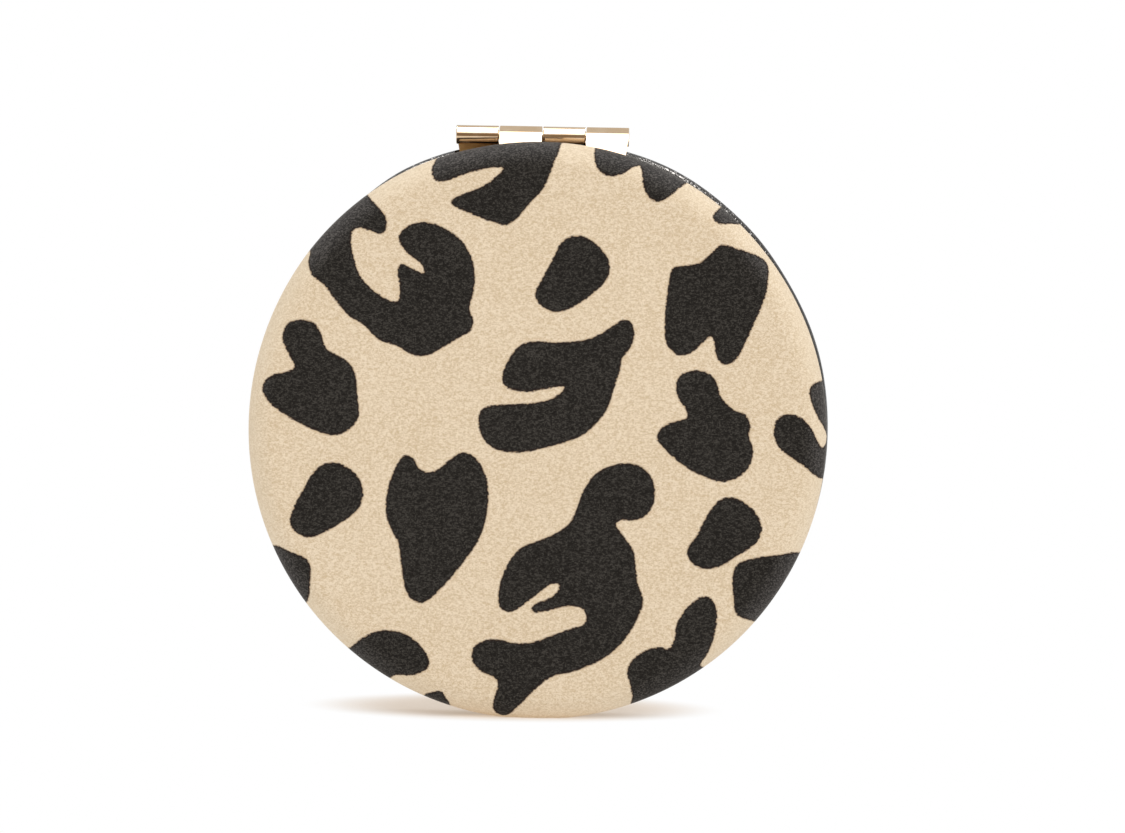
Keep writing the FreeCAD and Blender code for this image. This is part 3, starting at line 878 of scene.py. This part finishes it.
# %% [markdown]
# ## Gold hinge
# The hinge is stamped from thin sheet, curled round its pin and plated in a light gold. Its shape is
# right in the construction model, so only its finish is written here. Plating is a smooth mirror with
# faint lines left by the polishing wheel along the sheet. The plates' inside faces, which the wheel
# can't reach, are duller, and they are painted more orange: a painted reflection of light bouncing
# between the gold plates in the shade of the hinge. They are found by their distance from the pin
# across the lean of the plate.

# %% Plated finish
gold_light = (0.84, 0.66, 0.47)
gold_deep = (0.74, 0.55, 0.36)
# Painted reflection: orange colours for light bounced between the plates inside the hinge.
gold_bounce_light = (1.0, 0.60, 0.25)
gold_bounce_deep = (0.88, 0.49, 0.18)
leaf_lean = math.radians(28.0)
leaf_face = 0.54 * MM


def plating(name, side):
    """Light gold plating of one half's metal, duller inside the hinge and painted orange there as a painted
    reflection.
    """
    material, recipe, shader = new_finish(name, {"IOR": 1.5})
    lines = recipe.noise(recipe.in_millimetres((0.06, 1.0, 1.0)), 0.08, detail=2.0)
    cloud = recipe.noise(recipe.in_millimetres(), 2.2, detail=3.0)
    where = recipe.parts(recipe.here())
    outwards = where["Y"] * (side * math.cos(leaf_lean)) + (where["Z"] - pin.z) * math.sin(leaf_lean)
    inside = recipe.ease(outwards, leaf_face + 0.4 * MM, leaf_face + 0.1 * MM)
    inside = inside * recipe.ease(where["Z"], pin.z - 0.9 * knuckle_radius, pin.z - 1.1 * knuckle_radius)
    bounce_tone = recipe.noise(recipe.in_millimetres(), 1.1, detail=2.0)
    colour = recipe.blend(recipe.ease(cloud, 0.35, 0.7), gold_deep, gold_light)
    # Painted reflection: the inside faces are painted orange, for light bounced between the gold plates.
    painted_bounce = recipe.blend(recipe.ease(bounce_tone, 0.3, 0.7), gold_bounce_deep, gold_bounce_light)
    colour = recipe.blend(inside, colour, painted_bounce)
    gloss = 0.10 + (lines - 0.5) * 0.06 + (cloud - 0.5) * 0.08 + inside * 0.22
    recipe.feed(shader, {"Base Color": colour, "Roughness": gloss, "Metallic": 1.0 - inside * 0.6,
                         "Normal": recipe.bump(lines, 0.002, 0.5)})
    return material


for side, body in ((LID, "lid"), (BASE, "base")):
    hinge_plating = plating(f"{body}_hinge_gold", side)
    hinge_pieces = [f"{body}_hinge_leaf", f"{body}_leaf_rivets"] + ["hinge_pin"] * (side == BASE)
    for name in hinge_pieces:
        dress(nodes[name], hinge_plating)
    print("plated:", ", ".join(hinge_pieces))

# %% [markdown]
# ## Mirrors
# Each mirror is silvered glass with a ground edge. The silver lies behind the glass, but glass this
# thin looks like one bright surface with a faint cool tint, so a metal is enough. Only the ground edge
# is dull and a little green. The finish finds the edge by its distance from the disc's axis. The mirror
# in the base is slightly hollow, to magnify, and a hollow mirror shows every flaw of its mesh, so it is
# turned again here with even rings.

# %% Silvered glass finish
mirror_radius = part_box("base_mirror")[1].x
ground_edge = 0.3 * MM


def silvered_glass():
    """Bright silvered face and a dull ground edge."""
    material, recipe, shader = new_finish("mirror_glass", {"IOR": 1.5})
    edge = recipe.ease(recipe.from_axis(), mirror_radius - ground_edge, mirror_radius - 0.8 * ground_edge)
    grit = recipe.noise(recipe.in_millimetres(), 0.15, detail=2.0)
    haze = recipe.noise(recipe.in_millimetres(), 12.0, detail=3.0)
    colour = recipe.blend(edge, (0.90, 0.915, 0.92), (0.42, 0.52, 0.48))
    gloss = 0.012 + haze * 0.015 + edge * (0.3 + grit * 0.25)
    recipe.feed(shader, {"Base Color": colour, "Roughness": gloss, "Metallic": 1.0 - edge * 0.7,
                         "Normal": recipe.bump(grit * edge, 0.02)})
    return material


mirror_glass = silvered_glass()
dress(nodes["lid_mirror"], mirror_glass)
print(f"mirrors {2 * mirror_radius / MM:.1f} mm across")

# %% Turn the hollow mirror
mirror_back = -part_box("lid_mirror")[0].y
mirror_face = -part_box("lid_mirror")[1].y
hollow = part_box("base_mirror")[1].y - mirror_back
bowl_radius = (mirror_radius ** 2 + hollow ** 2) / (2 * hollow)
glass_chamfer = 0.25 * MM
mirror_steps = 192
glass_smoothing = math.radians(30)


def bowl(radius):
    """Depth of the hollow at a distance from the middle."""
    return math.sqrt(bowl_radius ** 2 - radius ** 2) - (bowl_radius - hollow)


def bowl_section():
    """Section of the hollow mirror: face, ground edge and back."""
    shown = mirror_radius - glass_chamfer
    section = [(mirror_face + bowl(radius), radius) for radius in [0.0] + run(0.0, shown, MM)]
    section += [(mirror_face + glass_chamfer, mirror_radius), (mirror_back, mirror_radius)]
    section += [(mirror_back + bowl(radius), radius) for radius in run(mirror_radius, 0.0, MM)]
    return section


hollow_mirror = turn_piece("base_hollow_mirror", bowl_section(), BASE, mirror_steps)
bpy.ops.object.shade_smooth_by_angle(angle=glass_smoothing)
dress(hollow_mirror, mirror_glass)
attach(hollow_mirror, "base")
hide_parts("base_mirror")
print(hollow_mirror.name, "faces:", len(hollow_mirror.data.polygons))

# %% [markdown]
# ## Hidden pieces
# The moulded shells, the foam tape behind the mirrors and the small closing magnets only show when the
# model is taken apart. They keep their shapes and get plain, true finishes.

# %% Shell, tape and magnet finishes
def shell_plastic():
    """Matte black moulded plastic with a fine spark-eroded texture."""
    material, recipe, shader = new_finish("shell_plastic", {"IOR": 1.49})
    place = recipe.in_millimetres()
    texture = recipe.noise(place, 0.1, detail=3.0)
    flow = recipe.noise(place, 8.0, detail=2.0)
    colour = recipe.blend(flow, (0.022, 0.022, 0.023), (0.034, 0.034, 0.035))
    recipe.feed(shader, {"Base Color": colour, "Roughness": 0.5 + texture * 0.15,
                         "Normal": recipe.bump(texture, 0.01)})
    return material


def foam_tape():
    """White foam tape."""
    material, recipe, shader = new_finish("mirror_tape", {"Specular IOR Level": 0.3})
    place = recipe.in_millimetres()
    cells = recipe.cells(place, 0.25)
    colour = recipe.blend(cells, (0.86, 0.86, 0.84), (0.70, 0.70, 0.68))
    recipe.feed(shader, {"Base Color": colour, "Roughness": 0.75 + cells * 0.2,
                         "Normal": recipe.bump(cells, 0.03)})
    return material


def nickel():
    """Bright nickel plating with a slightly uneven gloss."""
    material, recipe, shader = new_finish("magnet_nickel", {"Metallic": 1.0})
    place = recipe.in_millimetres()
    cloud = recipe.noise(place, 0.6, detail=3.0)
    colour = recipe.blend(cloud, (0.54, 0.53, 0.50), (0.66, 0.65, 0.62))
    recipe.feed(shader, {"Base Color": colour, "Roughness": 0.16 + cloud * 0.16,
                         "Normal": recipe.bump(cloud, 0.004)})
    return material


hidden_finishes = {
    "shell": (shell_plastic(), "shell_plastic"),
    "mirror_tape": (foam_tape(), "tape"),
    "magnets": (nickel(), "magnet_nickel"),
}
for part, (material, slot) in hidden_finishes.items():
    for body in ("lid", "base"):
        dress(nodes[f"{body}_{part}"], material)
print("hidden finishes:", ", ".join(hidden_finishes))

# %% [markdown]
# ## White table
# The compact stands on its rim on a white table. In an oval round its foot the table mixes a white
# surface, which takes the soft shadow, with a darker warm glow: a painted warm shadow. Outside the oval
# it turns to plain white for the camera and for reflections, so that it runs into the white background.
# For lighting the table glows everywhere too, a painted bounce light on the compact's lower rim.

# %% White table
def seen_or_mirrored(recipe):
    """One for what the camera sees, straight or in a mirror or glass, and zero for lighting."""
    path = recipe.add("ShaderNodeLightPath").socket.node
    names = ("Is Camera Ray", "Is Glossy Ray", "Is Transmission Ray")
    kinds = [Value(recipe, path.outputs[name]) for name in names]
    either = recipe.add("ShaderNodeMath", {"operation": "MAXIMUM"}, {0: kinds[0], 1: kinds[1]})
    return recipe.add("ShaderNodeMath", {"operation": "MAXIMUM"}, {0: either, 1: kinds[2]})


# Place, size and colour of the painted warm shadow round the foot.
painted_shadow_middle = (-3.0 * MM, 10.0 * MM)
painted_shadow_size = (25.0 * MM, 20.0 * MM)
painted_shadow_colour = (0.78, 0.63, 0.49)
glow_share = 0.60
table_radius = 4.0
table_steps = 96


def white_table():
    """White surface with a darker warm glow near the object as a painted shadow, and plain white light
    further off.
    """
    material = bpy.data.materials.new("white_table")
    recipe = Recipe(material)
    squeeze = {"Vector": recipe.here(), "Scale": [1.0 / size for size in painted_shadow_size] + [0.0],
               "Location": [-spot / size for spot, size in zip(painted_shadow_middle, painted_shadow_size)] + [0.0]}
    # Inside this oval the glow is darker and warm, a painted shadow.
    far = recipe.ease(recipe.length(recipe.moved(squeeze)), 0.5, 1.05)
    # For lighting the table always glows, a painted bounce light on the compact's lower rim.
    fade = glow_share + far * (1.0 - glow_share) * seen_or_mirrored(recipe)
    surface = recipe.add("ShaderNodeBsdfDiffuse", None, {"Color": (0.94, 0.925, 0.90, 1.0)})
    white = recipe.blend(far, painted_shadow_colour, (1.0, 1.0, 1.0))
    glow = recipe.add("ShaderNodeEmission", None, {"Color": white, "Strength": 1.0})
    mixed = recipe.add("ShaderNodeMixShader", None, {0: fade, 1: surface, 2: glow})
    recipe.feed(recipe.tree.nodes["Material Output"], {"Surface": mixed})
    return material


let_go()
bpy.ops.mesh.primitive_circle_add(vertices=table_steps, radius=table_radius, fill_type="NGON")
table = bpy.context.object
table.name = "table"
table.data.materials.append(white_table())
print(f"table {2 * table_radius:.0f} m across")

# %% [markdown]
# ## A dark card for the metal
# Polished metal only looks like metal when it has something dark to mirror. In a studio that is the
# unlit room behind the lens. A card stands in for it: a low dark board across the front, which fades
# out at its top and its ends. Only reflections see it, so it neither shades the compact nor hides it.

# %% Dark card
card_away = 0.25
card_height = 0.19
card_width = 0.90
room_dark = (0.27, 0.205, 0.145)


def dark_room():
    """Dark board that fades out at the top and at both ends."""
    material = bpy.data.materials.new("dark_room")
    recipe = Recipe(material)
    place = recipe.parts(recipe.here())
    across = recipe.add("ShaderNodeMath", {"operation": "ABSOLUTE"}, {0: place["X"]})
    shown = recipe.ease(across, card_width / 2, card_width / 4)
    shown = shown * recipe.ease(place["Z"], card_height, 0.7 * card_height)
    clear = recipe.add("ShaderNodeBsdfTransparent")
    board = recipe.add("ShaderNodeEmission", None, {"Color": (*room_dark, 1.0), "Strength": 1.0})
    mixed = recipe.add("ShaderNodeMixShader", None, {0: shown, 1: clear, 2: board})
    recipe.feed(recipe.tree.nodes["Material Output"], {"Surface": mixed})
    return material


let_go()
bpy.ops.mesh.primitive_plane_add(size=1.0, location=(0.0, -card_away, card_height / 2),
                                 rotation=(math.pi / 2, 0.0, 0.0), scale=(card_width, card_height, 1.0))
card = bpy.context.object
card.name = "dark_card"
settle_at_origin(card)
card.data.materials.append(dark_room())
card.visible_camera = False
card.visible_diffuse = False
card.visible_transmission = False
card.visible_shadow = False
print(f"card {card_width:.2f} by {card_height:.2f} m")

# %% [markdown]
# ## Studio light
# Even white light fills the room, and the camera sees a plain white background. Reflections see a
# slightly darker room, so that polished metal doesn't burn out. A soft box at the front right and a
# long one overhead shape the face, a small one lights the crown of the rim, and two narrow ones draw
# the glints on the black rim. Those two stay out of diffuse light, so only reflections show them.

# %% Studio light
fill_level = 0.79
mirrored_level = 0.72
lamps = {
    "key_light": ((0.74, -0.50, 0.90), 0.6, 0.6, 2.7),
    "top_light": ((0.0, -0.40, 0.92), 0.22, 1.4, 2.4),
    "crown_light": ((0.12, 0.12, 1.00), 0.4, 0.4, 0.8),
    "right_glint_light": ((0.42, 0.19, 0.91), 0.46, 0.16, 6.5),
    "left_glint_light": ((-0.42, 0.20, 0.92), 0.30, 0.18, 6.0),
}


def white_room():
    """Even white fill, and a plain white background."""
    world = bpy.data.worlds.new("white_room")
    recipe = Recipe(world)
    path = recipe.add("ShaderNodeLightPath").socket.node
    mirrored = Value(recipe, path.outputs["Is Glossy Ray"])
    level = recipe.ease(seen_or_mirrored(recipe), 0.0, 1.0, fill_level, 1.0)
    level = level - mirrored * (1.0 - mirrored_level)
    recipe.feed(recipe.tree.nodes["Background"], {"Color": (1.0, 1.0, 1.0, 1.0), "Strength": level})
    return world


def soft_box(name, place, width, height, power):
    """A soft light at a place, in metres and watts, turned towards the disc's middle."""
    lamp = bpy.data.lights.new(name, "AREA")
    lamp.shape = "RECTANGLE"
    lamp.size = width
    lamp.size_y = height
    lamp.energy = power
    box = bpy.data.objects.new(name, lamp)
    box.location = place
    box.rotation_euler = (centre - Vector(place)).to_track_quat("-Z", "Y").to_euler()
    box.visible_diffuse = "glint" not in name
    bpy.context.collection.objects.link(box)


bpy.context.scene.world = white_room()
for name, settings in lamps.items():
    soft_box(name, *settings)
print("fill level:", fill_level, "lamps:", len(lamps))

# %% [markdown]
# ## Camera
# The picture is taken with a long lens from nearly straight in front, a few degrees to the right and
# a few degrees up, so that a sliver of the black half shows above and to the right. The frame's size
# at the compact follows from how large the disc appears in a picture 1125 by 833 pixels.

# %% Camera
picture_width = 1125.0
disc_pixels = 289.4
aim_pixels = (25.1, 14.3)
camera_distance = 1.6
camera_azimuth = math.radians(2.4)
camera_elevation = math.radians(4.0)
camera_roll = math.radians(0.9)

pixel = case_radius / disc_pixels
away = Vector((math.sin(camera_azimuth) * math.cos(camera_elevation),
               -math.cos(camera_azimuth) * math.cos(camera_elevation), math.sin(camera_elevation)))
camera_data = bpy.data.cameras.new("camera")
camera_data.sensor_width = 36.0
camera_data.lens = camera_data.sensor_width * camera_distance / (picture_width * pixel)
camera = bpy.data.objects.new("camera", camera_data)
bpy.context.collection.objects.link(camera)
camera.rotation_mode = "QUATERNION"
camera.rotation_quaternion = (-away).to_track_quat("-Z", "Y") @ Quaternion((0.0, 0.0, 1.0), camera_roll)
right = camera.rotation_quaternion @ Vector((1.0, 0.0, 0.0))
up = camera.rotation_quaternion @ Vector((0.0, 1.0, 0.0))
widest = centre + Vector((0.0, LID * edge_depth, 0.0))
aim = widest + right * aim_pixels[0] * pixel + up * aim_pixels[1] * pixel
camera.location = aim + away * camera_distance
bpy.context.scene.camera = camera
bpy.context.scene.view_settings.view_transform = "Standard"
print(f"lens {camera_data.lens:.0f} mm")
